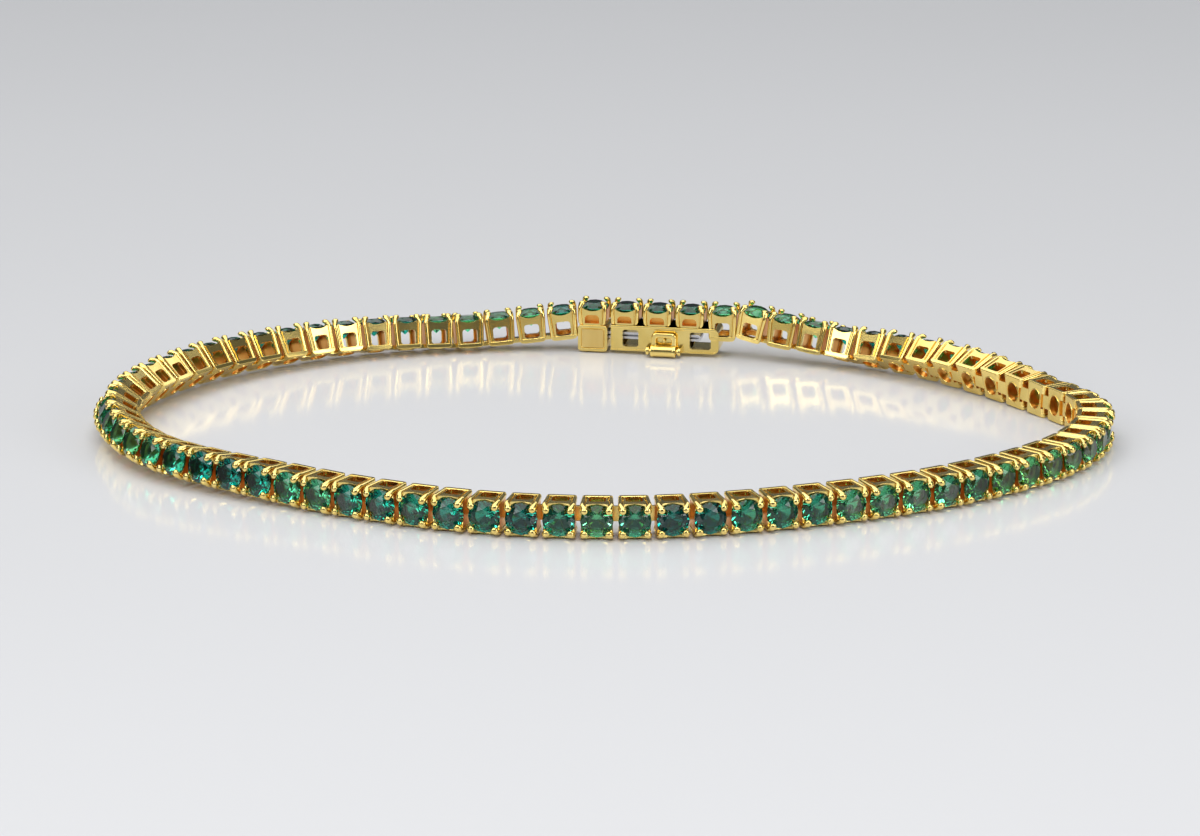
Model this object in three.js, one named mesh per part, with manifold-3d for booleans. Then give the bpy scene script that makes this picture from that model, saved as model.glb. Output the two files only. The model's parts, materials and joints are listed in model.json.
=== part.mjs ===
// Tennis bracelet, lying closed on a flat surface. Millimetres, +Z up.
// Round stones sit in square four-claw settings, hinged in a row and closed by a box clasp.
// The front of the loop is at -Y, the clasp at +Y. The origin is under the middle of the loop.
import * as THREE from 'three';
import { ConvexGeometry } from 'three/addons/geometries/ConvexGeometry.js';
import { mergeVertices } from 'three/addons/utils/BufferGeometryUtils.js';
import Module from 'manifold-3d';

const wasm = await Module();
wasm.setup();

// Driving dimensions of one setting. Heights run from its base to the tips of its claws.
const link = {
  count: 71,
  leftCount: 37,
  pitch: 2.4,
  topLength: 2.2,
  baseLength: 2.0,
  width: 2.4,
  height: 2.6,
  baseRail: 0.36,
  gallery: 0.46,
  windowLength: 1.24,
};

const claw = { height: 0.78, footLength: 0.5, footWidth: 0.55, tipLength: 0.35, tipWidth: 0.4, lean: 0.25 };

const baseHole = { length: 1.0, width: 1.7, shoulder: 0.8 };

const stone = {
  diameter: 2.15,
  facets: 8,
  girdleRise: 0.23,
  crownHeight: 0.33,
  pavilionDepth: 0.92,
  tableShare: 0.56,
  seatClearance: 0.06,
};

// How deep soldered pieces run into each other, and how far cutting tools reach past what they cut.
const solder = 0.05;
const cutOverrun = 1.0;

// How many straight pieces a quarter of a rounded corner has.
const cornerSegments = 3;

const hinge = { tabWidth: 0.6, tabHeight: 0.3, tabRise: 0.05, bite: 0.2, clearance: 0.15, notchDepth: 0.3 };

// The clasp. Behind the tongue's block come a seam and the box, and the last setting reaches past it.
const clasp = { stones: 5, shortSettingHeight: 1.68, wall: 0.35, seam: 0.26, pastBox: 1.47 };

const box = {
  length: 8.2,
  width: 2.4,
  height: 1.95,
  rise: 0.22,
  endWall: 0.45,
  endRadius: 0.45,
  lipHeight: 0.2,
  lipProud: 0.06,
};

// The box's side windows, and how far each starts from its end of the box.
const tongueSideWindow = { fromEnd: 0.9, length: 1.2 };
const farWindow = { fromEnd: 0.6, length: 1.6 };

const tongueBlock = {
  length: 2.25,
  endGap: 0.16,
  rise: 0.06,
  topDrop: 0.11,
  panelBorder: 0.28,
  panelDepth: 0.12,
  slotDepth: 0.5,
};

const spring = {
  endGap: 0.96,
  width: 1.3,
  leaf: 0.18,
  fold: 0.5,
  middleRise: 0.085,
  slotClearance: 0.12,
  insertion: 0.35,
};

const latch = {
  width: 1.9,
  barrelRadius: 0.42,
  boreRadius: 0.24,
  pinRadius: 0.16,
  sides: 12,
  floorGap: 0.02,
  faceGap: 0.12,
  lipGap: 0.17,
  loopThickness: 0.34,
  loopBar: 0.28,
  loopRadius: 0.3,
  earThickness: 0.25,
  earRadius: 0.3,
  earGap: 0.12,
  studRadius: 0.13,
  studReach: 0.42,
  studSides: 8,
};

// The way the loop lies: a few chosen points of its plan, from the tongue's end hinge leftwards
// round the front to the box's end hinge, and the middle of the clasp last.
const routePoints = [
  { x: -1.6, y: 24.9 },
  { x: -10.5, y: 24.3 },
  { x: -20.5, y: 21.0 },
  { x: -29.5, y: 13.3 },
  { x: -33.9, y: 2.0 },
  { x: -30.5, y: -9.0 },
  { x: -20.5, y: -16.8 },
  { x: -9.0, y: -22.6 },
  { x: 2.4, y: -24.1 },
  { x: 13.5, y: -21.5 },
  { x: 24.0, y: -16.3 },
  { x: 32.0, y: -8.5 },
  { x: 34.5, y: 0.5 },
  { x: 30.2, y: 8.7 },
  { x: 21.5, y: 17.4 },
  { x: 10.6, y: 22.7 },
  { x: 4.5, y: 23.8 },
];

// From the clasp, the row of settings slopes down to the surface and turns onto its side.
const tongueSide = { lift: 0.98, liftRun: 8.6, twistStart: 0, twistRun: 71 };
const boxSide = { lift: 1.6, liftRun: 10, twistStart: 2.2, twistRun: 25.6 };
const liftEase = 1.3;
const uprightTwist = Math.PI / 2;

// What follows from them
const galleryTop = link.height - claw.height;
const galleryUnderside = galleryTop - link.gallery;
const girdleHeight = galleryTop + stone.girdleRise;
const claspLength = tongueBlock.endGap + tongueBlock.length + clasp.seam + box.length + clasp.pastBox;
const chainLength = link.count * link.pitch;
const loopLength = chainLength + claspLength;

// Joining and cutting

function solidOf(geometry) {
  const bare = new THREE.BufferGeometry();
  bare.setAttribute('position', geometry.getAttribute('position').clone());
  if (geometry.index) bare.setIndex(geometry.index.clone());
  const merged = mergeVertices(bare, 1e-5);
  return new wasm.Manifold(new wasm.Mesh({
    numProp: 3,
    vertProperties: Float32Array.from(merged.getAttribute('position').array),
    triVerts: Uint32Array.from(merged.index.array),
  }));
}

function geometryOf(solid) {
  const mesh = solid.getMesh();
  const geometry = new THREE.BufferGeometry();
  geometry.setAttribute('position', new THREE.BufferAttribute(Float32Array.from(mesh.vertProperties), 3));
  geometry.setIndex(new THREE.BufferAttribute(Uint32Array.from(mesh.triVerts), 1));
  return geometry;
}

function placed(solid, matrix) {
  return solidOf(geometryOf(solid).applyMatrix4(matrix));
}

function movedTo(solid, x, y, z) {
  return placed(solid, new THREE.Matrix4().makeTranslation(x, y, z));
}

function block(low, high) {
  const geometry = new THREE.BoxGeometry(high[0] - low[0], high[1] - low[1], high[2] - low[2]);
  geometry.translate((low[0] + high[0]) / 2, (low[1] + high[1]) / 2, (low[2] + high[2]) / 2);
  return solidOf(geometry);
}

function hull(points) {
  return solidOf(new ConvexGeometry(points.map(([x, y, z]) => new THREE.Vector3(x, y, z))));
}

// A shape drawn along X and Z, extruded along Y and centred on it.
function sidePlate(shape, width) {
  const drawn = { depth: width, bevelEnabled: false, curveSegments: cornerSegments };
  const geometry = new THREE.ExtrudeGeometry(shape, drawn);
  geometry.rotateX(Math.PI / 2);
  geometry.translate(0, width / 2, 0);
  return solidOf(geometry);
}

function rodAlongX(radius, length, sides) {
  const geometry = new THREE.CylinderGeometry(radius, radius, length, sides);
  geometry.rotateZ(Math.PI / 2);
  return solidOf(geometry);
}

function roundedRectangle(length, height, radius) {
  const shape = new THREE.Shape();
  const [x, y] = [length / 2, height / 2];
  shape.moveTo(-x + radius, -y);
  shape.lineTo(x - radius, -y);
  shape.absarc(x - radius, -y + radius, radius, -Math.PI / 2, 0);
  shape.lineTo(x, y - radius);
  shape.absarc(x - radius, y - radius, radius, 0, Math.PI / 2);
  shape.lineTo(-x + radius, y);
  shape.absarc(-x + radius, y - radius, radius, Math.PI / 2, Math.PI);
  shape.lineTo(-x, -y + radius);
  shape.absarc(-x + radius, -y + radius, radius, Math.PI, 1.5 * Math.PI);
  return shape;
}

// The stone: a table, a crown and a pavilion, with its girdle at the given height.
function stoneSolid() {
  const radius = stone.diameter / 2;
  const points = [[0, 0, girdleHeight - stone.pavilionDepth]];
  for (let i = 0; i < stone.facets; i++) {
    const angle = (i * 2 * Math.PI) / stone.facets;
    const [x, y] = [radius * Math.cos(angle), radius * Math.sin(angle)];
    points.push([x, y, girdleHeight]);
    points.push([x * stone.tableShare, y * stone.tableShare, girdleHeight + stone.crownHeight]);
  }
  return hull(points);
}

// Settings. Each stands on its base at height zero, with X along the row.

function lengthAt(height) {
  const share = height / galleryTop;
  return link.baseLength + (link.topLength - link.baseLength) * share;
}

function frameBlock(base) {
  const points = [];
  for (const height of [base, galleryTop]) {
    for (const x of [-lengthAt(height) / 2, lengthAt(height) / 2]) {
      for (const y of [-link.width / 2, link.width / 2]) points.push([x, y, height]);
    }
  }
  return hull(points);
}

function clawSolid(sideX, sideY) {
  const [outX, outY] = [link.topLength / 2, link.width / 2];
  const corner = (height, lean, length, width) => [
    [sideX * (outX - lean), sideY * (outY - lean), height],
    [sideX * (outX - lean - length), sideY * (outY - lean), height],
    [sideX * (outX - lean), sideY * (outY - lean - width), height],
  ];
  const foot = corner(galleryTop, 0, claw.footLength, claw.footWidth);
  return hull([...foot, ...corner(link.height, claw.lean, claw.tipLength, claw.tipWidth)]);
}

function withClaws(frame) {
  let solid = frame;
  for (const sideX of [-1, 1]) {
    for (const sideY of [-1, 1]) solid = solid.add(clawSolid(sideX, sideY));
  }
  return solid;
}

function windowTunnel() {
  const reach = link.width / 2 + cutOverrun;
  const half = link.windowLength / 2;
  return block([-half, -reach, link.baseRail], [half, reach, galleryUnderside]);
}

function baseHoleTool() {
  const points = [];
  for (const z of [-cutOverrun, link.baseRail + solder]) {
    for (const side of [-1, 1]) {
      points.push([0, (side * baseHole.width) / 2, z]);
      points.push([-baseHole.length / 2, (side * baseHole.shoulder) / 2, z]);
      points.push([baseHole.length / 2, (side * baseHole.shoulder) / 2, z]);
    }
  }
  return hull(points);
}

// The socket under a loose stone: the stone's own pavilion, grown by the seat clearance.
function stoneSocket() {
  const grow = 1 + (2 * stone.seatClearance) / stone.diameter;
  const lift = new THREE.Matrix4().makeTranslation(0, 0, girdleHeight);
  const scale = new THREE.Matrix4().makeScale(grow, grow, grow + stone.seatClearance);
  const drop = new THREE.Matrix4().makeTranslation(0, 0, -girdleHeight);
  return placed(stoneSolid(), lift.multiply(scale).multiply(drop));
}

function openSetting() {
  return withClaws(frameBlock(0)).subtract(windowTunnel()).subtract(baseHoleTool());
}

function shortSetting(height) {
  const base = link.height - height;
  return movedTo(withClaws(frameBlock(base)).subtract(stoneSocket()), 0, 0, -base);
}

function notch(end) {
  const inner = link.baseLength / 2 - hinge.notchDepth;
  const outer = link.topLength / 2 + cutOverrun;
  const half = hinge.tabWidth / 2 + hinge.clearance;
  const top = hinge.tabRise + hinge.tabHeight + hinge.clearance;
  const [low, high] = end > 0 ? [inner, outer] : [-outer, -inner];
  return block([low, -half, -cutOverrun], [high, half, top]);
}

const plainLink = openSetting().add(stoneSolid());
const startLink = plainLink.subtract(notch(-1));
const endLink = plainLink.subtract(notch(1));

// The route that the row of settings follows.

const plan = new THREE.CatmullRomCurve3(
  routePoints.map(({ x, y }) => new THREE.Vector3(x, y, 0)), true, 'catmullrom', 0.5);
plan.arcLengthDivisions = 4000;
const planScale = loopLength / plan.getLength();

function sideAt(s) {
  const nearTongue = s < chainLength / 2;
  return nearTongue ? { side: tongueSide, run: s } : { side: boxSide, run: chainLength - s };
}

function twistAt(s) {
  const { side, run } = sideAt(s);
  const share = THREE.MathUtils.clamp(1 - (run - side.twistStart) / side.twistRun, 0, 1);
  return uprightTwist * share;
}

function liftAt(s) {
  const { side, run } = sideAt(s);
  return side.lift * THREE.MathUtils.clamp(1 - run / side.liftRun, 0, 1) ** liftEase;
}

function centreAt(s) {
  const point = plan.getPointAt(THREE.MathUtils.euclideanModulo(s / loopLength, 1)).multiplyScalar(planScale);
  const twist = twistAt(s);
  const rest = (link.width / 2) * Math.cos(twist) + (link.height / 2) * Math.sin(twist);
  return point.setZ(rest + liftAt(s));
}

// The place of a setting whose middle is at s: X along the row, Z out through the stone.
function placeAt(s) {
  const step = link.pitch / 8;
  const centre = centreAt(s);
  const along = centreAt(s + step).sub(centreAt(s - step)).normalize();
  const outward = new THREE.Vector3(along.y, -along.x, 0).normalize();
  const upward = new THREE.Vector3().crossVectors(outward, along);
  const twist = twistAt(s);
  const stoneAxis = outward.multiplyScalar(Math.cos(twist)).add(upward.multiplyScalar(Math.sin(twist)));
  const across = new THREE.Vector3().crossVectors(stoneAxis, along);
  const base = centre.clone().addScaledVector(stoneAxis, -link.height / 2);
  return new THREE.Matrix4().makeBasis(along, across, stoneAxis).setPosition(base);
}

function tabAt(s, start, end) {
  const half = hinge.tabWidth / 2;
  const tab = block([start, -half, hinge.tabRise], [end, half, hinge.tabRise + hinge.tabHeight]);
  return placed(tab, placeAt(s));
}

const baseGap = link.pitch - link.baseLength;
const looseReach = baseGap / 2 + hinge.notchDepth - hinge.clearance;

function chainSolid(first, last, firstLink, lastLink) {
  let chain = null;
  for (let i = first; i <= last; i++) {
    const shape = i === first ? firstLink : i === last ? lastLink : plainLink;
    const setting = placed(shape, placeAt((i + 0.5) * link.pitch));
    chain = chain ? chain.add(setting) : setting;
    const fixedReach = baseGap / 2 + hinge.bite;
    if (i < last) chain = chain.add(tabAt((i + 1) * link.pitch, -fixedReach, fixedReach));
  }
  return chain;
}

const leftSolid = chainSolid(0, link.leftCount - 1, startLink, plainLink)
  .add(tabAt(link.leftCount * link.pitch, -baseGap / 2 - hinge.bite, looseReach));
const rightSolid = chainSolid(link.leftCount, link.count - 1, startLink, endLink);

// The clasp, built with X from the tongue to the box, Y away from the loop's middle, and Z up
// from the surface that the bracelet lies on.

const tongueEnd = centreAt(0).setZ(0);
const boxEnd = centreAt(chainLength).setZ(0);
const claspMiddle = tongueEnd.clone().add(boxEnd).multiplyScalar(0.5);
const claspAlong = boxEnd.clone().sub(tongueEnd).normalize();
const claspUp = new THREE.Vector3(0, 0, 1);
const claspPlace = new THREE.Matrix4()
  .makeBasis(claspAlong, new THREE.Vector3().crossVectors(claspUp, claspAlong), claspUp)
  .setPosition(claspMiddle);
const intoClasp = claspPlace.clone().invert();

const blockLow = -claspLength / 2 + tongueBlock.endGap;
const blockHigh = blockLow + tongueBlock.length;
const boxLow = blockHigh + clasp.seam;
const boxHigh = boxLow + box.length;
const boxMiddle = (boxLow + boxHigh) / 2;
const boxTop = box.rise + box.height;
const boxMiddleHeight = box.rise + box.height / 2;
const tipHeight = boxTop + clasp.shortSettingHeight;
const stonePitch = claspLength / clasp.stones;
const stonePlaces = Array.from({ length: clasp.stones }, (_, i) => -claspLength / 2 + (i + 0.5) * stonePitch);
const lastPlace = stonePlaces[clasp.stones - 1];
const springHeight = boxMiddleHeight + spring.middleRise;

function boxShell() {
  const round = roundedRectangle(box.length, box.height, box.endRadius);
  const outer = movedTo(sidePlate(round, box.width), boxMiddle, 0, boxMiddleHeight);
  const squareEnd = block([boxLow, -box.width / 2, box.rise], [boxMiddle, box.width / 2, boxTop]);
  const lipHalf = box.width / 2 + box.lipProud;
  const lip = block([boxLow, -lipHalf, boxTop - box.lipHeight], [boxHigh - box.endRadius, lipHalf, boxTop]);
  return outer.add(squareEnd).add(lip);
}

function boxCavity() {
  const half = box.width / 2 - clasp.wall;
  return block([boxLow - cutOverrun, -half, box.rise + clasp.wall],
    [boxHigh - box.endWall, half, boxTop - clasp.wall]);
}

// A window is as high as the hollow behind it.
function boxWindow(low, length) {
  const reach = box.width / 2 + cutOverrun;
  return block([low, -reach, box.rise + clasp.wall], [low + length, reach, boxTop - clasp.wall]);
}

// The safety latch: a barrel on a pin along the box's inner side, and a loop over a stud.

const latchAxis = {
  x: boxMiddle,
  y: -box.width / 2 - latch.faceGap - latch.barrelRadius,
  z: latch.floorGap + latch.barrelRadius,
};
const loopTop = boxTop - box.lipHeight - latch.lipGap;
const loopHeight = loopTop - latchAxis.z;
const loopBack = -box.width / 2 - box.lipProud - latch.faceGap;

function onLatchAxis(solid, along = 0) {
  return movedTo(solid, latchAxis.x + along, latchAxis.y, latchAxis.z);
}

function latchSolid() {
  const barrel = onLatchAxis(rodAlongX(latch.barrelRadius, latch.width, latch.sides));
  const outline = roundedRectangle(latch.width, loopHeight, latch.loopRadius);
  const loop = movedTo(sidePlate(outline, latch.loopThickness),
    latchAxis.x, loopBack - latch.loopThickness / 2, latchAxis.z + loopHeight / 2);
  const reach = latch.loopThickness + cutOverrun;
  const holeHalf = latch.width / 2 - latch.loopBar;
  const hole = block([latchAxis.x - holeHalf, loopBack - reach, latchAxis.z + latch.barrelRadius],
    [latchAxis.x + holeHalf, loopBack + reach, loopTop - latch.loopBar]);
  const bore = onLatchAxis(rodAlongX(latch.boreRadius, latch.width + 2 * cutOverrun, latch.sides));
  return barrel.add(loop).subtract(hole).subtract(bore);
}

function latchHolder() {
  const face = -box.width / 2;
  const earMiddle = latch.width / 2 + latch.earGap + latch.earThickness / 2;
  const pinLength = 2 * earMiddle + latch.earThickness;
  let holder = onLatchAxis(rodAlongX(latch.pinRadius, pinLength, latch.sides));
  for (const side of [-1, 1]) {
    const x = latchAxis.x + side * earMiddle;
    const half = latch.earThickness / 2;
    const disc = onLatchAxis(rodAlongX(latch.earRadius, latch.earThickness, latch.sides), side * earMiddle);
    const arm = block([x - half, latchAxis.y, latchAxis.z - latch.pinRadius],
      [x + half, face + clasp.wall / 2, latchAxis.z + latch.earRadius]);
    holder = holder.add(disc).add(arm);
  }
  const studHeight = (latchAxis.z + latch.barrelRadius + loopTop - latch.loopBar) / 2;
  const studLength = latch.studReach + clasp.wall;
  const stud = new THREE.CylinderGeometry(latch.studRadius, latch.studRadius, studLength, latch.studSides);
  stud.translate(latchAxis.x, face - (latch.studReach - clasp.wall) / 2, studHeight);
  return holder.add(solidOf(stud));
}

function endTab(s, start, end) {
  return placed(tabAt(s, start, end), intoClasp);
}

function claspBoxSolid() {
  const full = openSetting().subtract(stoneSocket());
  let solid = boxShell().add(movedTo(full, lastPlace, 0, tipHeight - link.height));
  solid = solid.subtract(boxCavity())
    .subtract(boxWindow(boxLow + tongueSideWindow.fromEnd, tongueSideWindow.length))
    .subtract(boxWindow(boxHigh - farWindow.fromEnd - farWindow.length, farWindow.length));
  const short = shortSetting(clasp.shortSettingHeight + solder);
  for (const x of stonePlaces.slice(1, -1)) solid = solid.add(movedTo(short, x, 0, boxTop - solder));
  const endReach = claspLength / 2 - lastPlace - link.baseLength / 2 + hinge.bite;
  return solid.add(latchHolder()).add(endTab(chainLength, -looseReach, endReach));
}

function claspTongueSolid() {
  const top = boxTop - tongueBlock.topDrop;
  const [face, half] = [-box.width / 2, box.width / 2];
  const border = tongueBlock.panelBorder;
  const body = block([blockLow, face, tongueBlock.rise], [blockHigh, half, top]);
  const panel = block([blockLow + border, face - cutOverrun, tongueBlock.rise + border],
    [blockHigh - border, face + tongueBlock.panelDepth, top - border]);
  const slotHalf = spring.width / 2 + spring.slotClearance;
  const slotRise = spring.fold / 2 + spring.slotClearance;
  const slot = block([blockHigh - tongueBlock.slotDepth, -slotHalf, springHeight - slotRise],
    [blockHigh + cutOverrun, slotHalf, springHeight + slotRise]);
  const setting = shortSetting(tipHeight - top + solder);
  return body.subtract(panel).subtract(slot)
    .add(movedTo(setting, stonePlaces[0], 0, top - solder))
    .add(endTab(0, -tongueBlock.endGap - hinge.bite, looseReach));
}

// The spring: one strip folded back on itself, with its fold deep in the box.
function springSolid() {
  const outer = spring.fold / 2;
  const inner = outer - spring.leaf;
  const start = blockHigh - spring.insertion;
  const end = boxHigh - box.endWall - spring.endGap;
  const shape = new THREE.Shape();
  shape.moveTo(start, -outer);
  shape.lineTo(end - outer, -outer);
  shape.absarc(end - outer, 0, outer, -Math.PI / 2, Math.PI / 2);
  shape.lineTo(start, outer);
  shape.lineTo(start, inner);
  shape.lineTo(end - outer, inner);
  shape.absarc(end - outer, 0, inner, Math.PI / 2, -Math.PI / 2, true);
  shape.lineTo(start, -inner);
  shape.closePath();
  return movedTo(sidePlate(shape, spring.width), 0, 0, springHeight);
}

// Materials and the finished group

const gold = new THREE.MeshStandardMaterial({ color: 0xd9a53a, roughness: 0.2, metalness: 1 });
const whiteMetal = new THREE.MeshStandardMaterial({ color: 0xc9c9cc, roughness: 0.3, metalness: 1 });
const emerald = new THREE.MeshStandardMaterial({ color: 0x0b7a5c, roughness: 0.05, metalness: 0 });

function meshOf(solid, name, material) {
  const mesh = new THREE.Mesh(geometryOf(solid), material.clone());
  mesh.name = name;
  return mesh;
}

const bracelet = new THREE.Group();
bracelet.add(meshOf(leftSolid, 'chain_left', gold));
bracelet.add(meshOf(rightSolid, 'chain_right', gold));

const claspGroup = new THREE.Group();
claspGroup.applyMatrix4(claspPlace);
claspGroup.add(meshOf(claspTongueSolid(), 'clasp_tongue', gold));
claspGroup.add(meshOf(springSolid(), 'tongue_spring', whiteMetal));
claspGroup.add(meshOf(claspBoxSolid(), 'clasp_box', gold));
claspGroup.add(meshOf(latchSolid(), 'safety_latch', gold));
stonePlaces.forEach((x, i) => {
  const gem = meshOf(stoneSolid(), `clasp_stone_${i + 1}`, emerald);
  gem.position.set(x, 0, tipHeight - link.height);
  claspGroup.add(gem);
});
bracelet.add(claspGroup);

bracelet.updateMatrixWorld(true);
const bounds = new THREE.Box3().setFromObject(bracelet, true);
const middle = bounds.getCenter(new THREE.Vector3());
bracelet.position.set(-middle.x, -middle.y, -bounds.min.z);

export default bracelet;
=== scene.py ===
"""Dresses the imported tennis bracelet: gold settings, green stones, clasp and safety latch, on a pale floor.

Sizes are in millimetres. A piece is modelled at that scale and is brought to the frame's metres when it is
placed. A setting stands on its base, with X along the row and Z out through its stone. The clasp has X from
its tongue to its box, Y away from the loop's middle, and Z up.
"""

import json
import logging
import math
from dataclasses import dataclass, field
from enum import Enum
from itertools import pairwise
from typing import Callable, Iterable, Sequence

import bpy
import numpy as np
from mathutils import Matrix, Vector

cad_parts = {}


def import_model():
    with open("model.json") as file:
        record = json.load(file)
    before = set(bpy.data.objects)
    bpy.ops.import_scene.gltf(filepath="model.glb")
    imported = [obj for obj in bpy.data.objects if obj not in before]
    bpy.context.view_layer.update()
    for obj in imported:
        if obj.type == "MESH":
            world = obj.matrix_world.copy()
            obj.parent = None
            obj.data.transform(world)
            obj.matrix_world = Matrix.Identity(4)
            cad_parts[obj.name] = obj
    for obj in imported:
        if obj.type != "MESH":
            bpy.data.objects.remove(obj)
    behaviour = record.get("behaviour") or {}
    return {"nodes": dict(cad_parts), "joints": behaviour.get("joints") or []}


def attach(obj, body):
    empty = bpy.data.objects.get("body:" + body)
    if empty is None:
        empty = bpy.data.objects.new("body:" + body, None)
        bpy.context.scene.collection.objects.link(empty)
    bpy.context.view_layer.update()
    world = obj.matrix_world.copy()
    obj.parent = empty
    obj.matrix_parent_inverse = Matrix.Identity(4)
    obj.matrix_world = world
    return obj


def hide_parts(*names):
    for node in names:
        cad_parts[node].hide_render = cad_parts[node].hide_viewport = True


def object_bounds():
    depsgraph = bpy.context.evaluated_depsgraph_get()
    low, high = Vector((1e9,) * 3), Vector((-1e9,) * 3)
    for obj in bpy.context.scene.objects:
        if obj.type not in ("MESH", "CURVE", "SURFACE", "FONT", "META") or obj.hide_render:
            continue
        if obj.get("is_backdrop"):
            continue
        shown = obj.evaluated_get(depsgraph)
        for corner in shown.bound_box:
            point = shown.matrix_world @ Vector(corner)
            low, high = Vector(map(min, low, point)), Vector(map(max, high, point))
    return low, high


LOG = logging.getLogger("bracelet")
MM = 0.001
BRACELET_BODY = "bracelet"
LATCH_BODY = "latch"
LATCH_JOINT = "latch_hinge"

# An edge shorter than NEEDLE is merged away, and places closer than NEAR count as one
NEEDLE = 0.0005
NEAR = 0.01

# How far a cutter reaches past the end of what it cuts, and from the middle through both sides
OVERRUN = 1.0
THROUGH = 2.0

# How squarely a face looks along an axis, or an edge runs along it, to be picked
FACING = 0.9
PARALLEL = 0.999

# An edge that turns by more than this many degrees is rounded
SHARP_TURN = 35

# The colour sockets of a Mix node, by their places
MIX_FIRST = 6
MIX_SECOND = 7
MIX_RESULT = 2

Point = tuple[float, float, float]
Colour = tuple[float, float, float, float]

# A test of an edge's two ends, or of a face's middle and normal, and a test of one place
PairTest = Callable[[Vector, Vector], bool]
PlaceTest = Callable[[Vector], bool]


# Workshop: the operations that every piece is made with


def deselect_all() -> None:
    """Leaves edit mode and deselects every object."""
    if bpy.context.object and bpy.context.object.mode != "OBJECT":
        bpy.ops.object.mode_set(mode="OBJECT")
    bpy.ops.object.select_all(action="DESELECT")


def activate(piece: bpy.types.Object) -> None:
    """Makes a piece the only selected object and the active one.

    Args:
        piece: The object to work on.
    """
    deselect_all()
    piece.select_set(True)
    bpy.context.view_layer.objects.active = piece


def bake_place() -> bpy.types.Object:
    """Moves the active object's place, turn and scale into its mesh.

    Returns:
        The active object.
    """
    bpy.ops.object.transform_apply(location=True, rotation=True, scale=True)
    return bpy.context.active_object


def add_box(low: Point, high: Point) -> bpy.types.Object:
    """Adds a box between two corners.

    Args:
        low: Its lowest corner.
        high: Its highest corner.

    Returns:
        The new object.
    """
    deselect_all()
    middle = (Vector(low) + Vector(high)) / 2
    bpy.ops.mesh.primitive_cube_add(size=1, location=middle)
    bpy.context.active_object.scale = Vector(high) - Vector(low)
    return bake_place()


def add_rod(start: Point, end: Point, radius: float, sides: int = 20) -> bpy.types.Object:
    """Adds a round rod between two points.

    Args:
        start: The middle of its first end.
        end: The middle of its second end.
        radius: Its radius.
        sides: How many faces run round it.

    Returns:
        The new object.
    """
    deselect_all()
    axis = Vector(end) - Vector(start)
    turn = axis.to_track_quat("Z", "Y").to_euler()
    middle = (Vector(start) + Vector(end)) / 2
    bpy.ops.mesh.primitive_cylinder_add(
        vertices=sides, radius=radius, depth=axis.length, location=middle, rotation=turn
    )
    return bake_place()


def mark_faces(piece: bpy.types.Object, test: PairTest) -> None:
    """Selects faces by their middle and normal, and enters edit mode.

    Args:
        piece: The object to select in.
        test: Takes a face's middle and normal, and says whether it is selected.
    """
    activate(piece)
    mesh = piece.data
    for vertex in mesh.vertices:
        vertex.select = False
    for edge in mesh.edges:
        edge.select = False
    for face in mesh.polygons:
        face.select = test(face.center, face.normal)
    bpy.ops.object.mode_set(mode="EDIT")
    bpy.ops.mesh.select_mode(type="FACE")


def mark_edges(piece: bpy.types.Object, test: PairTest) -> None:
    """Selects edges by their two ends, and enters edit mode.

    Args:
        piece: The object to select in.
        test: Takes an edge's two ends, and says whether it is selected.
    """
    activate(piece)
    mesh = piece.data
    for face in mesh.polygons:
        face.select = False
    for vertex in mesh.vertices:
        vertex.select = False
    for edge in mesh.edges:
        ends = [mesh.vertices[i].co for i in edge.vertices]
        edge.select = test(*ends)
    bpy.ops.object.mode_set(mode="EDIT")
    bpy.ops.mesh.select_mode(type="EDGE")


def finish_edit() -> None:
    """Goes back to object mode."""
    bpy.ops.object.mode_set(mode="OBJECT")


def round_edges(
    piece: bpy.types.Object, test: PairTest, radius: float, segments: int = 4
) -> bpy.types.Object:
    """Rounds the edges that a test picks.

    Args:
        piece: The object to round.
        test: Takes an edge's two ends, and says whether it is rounded.
        radius: The rounding's radius.
        segments: How many faces the rounding has.

    Returns:
        The same object.
    """
    mark_edges(piece, test)
    bpy.ops.mesh.bevel(offset=radius, segments=segments, affect="EDGES")
    finish_edit()
    return piece


def runs_along(axis: int, where: PlaceTest | None = None) -> PairTest:
    """A test for edges parallel to one axis.

    Args:
        axis: 0, 1 or 2 for X, Y or Z.
        where: Takes an edge's first end, and says whether the edge counts. Without it, all do.

    Returns:
        The test.
    """

    def test(a: Vector, b: Vector) -> bool:
        """Says whether the edge from a to b is parallel to the axis, and counts."""
        step = b - a
        return abs(step[axis]) > PARALLEL * step.length and (where is None or where(a))

    return test


def looks_along(axis: int, side: int = 1, where: PlaceTest | None = None) -> PairTest:
    """A test for faces that look along one axis.

    Args:
        axis: 0, 1 or 2 for X, Y or Z.
        side: 1 for the axis's own way, or -1 for the other.
        where: Takes a face's middle, and says whether the face counts. Without it, all do.

    Returns:
        The test.
    """

    def test(middle: Vector, normal: Vector) -> bool:
        """Says whether the face with this middle and normal looks that way, and counts."""
        return normal[axis] * side > FACING and (where is None or where(middle))

    return test


def apply_modifier(piece: bpy.types.Object, kind: str, **settings: object) -> bpy.types.Object:
    """Adds a modifier to a piece, sets it and applies it.

    Args:
        piece: The object to modify.
        kind: Blender's name for the modifier type.
        settings: The modifier's own settings.

    Returns:
        The same object.
    """
    activate(piece)
    modifier = piece.modifiers.new(kind.title(), kind)
    for name, value in settings.items():
        setattr(modifier, name, value)
    bpy.ops.object.modifier_apply(modifier=modifier.name)
    return piece


def cut(piece: bpy.types.Object, *cutters: bpy.types.Object) -> bpy.types.Object:
    """Cuts tools out of a piece and removes the tools.

    Args:
        piece: The object to cut.
        cutters: Closed objects to take away from it.

    Returns:
        The same object.
    """
    for cutter in cutters:
        apply_modifier(piece, "BOOLEAN", operation="DIFFERENCE", solver="EXACT", object=cutter)
        discard(cutter)
    return piece


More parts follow.
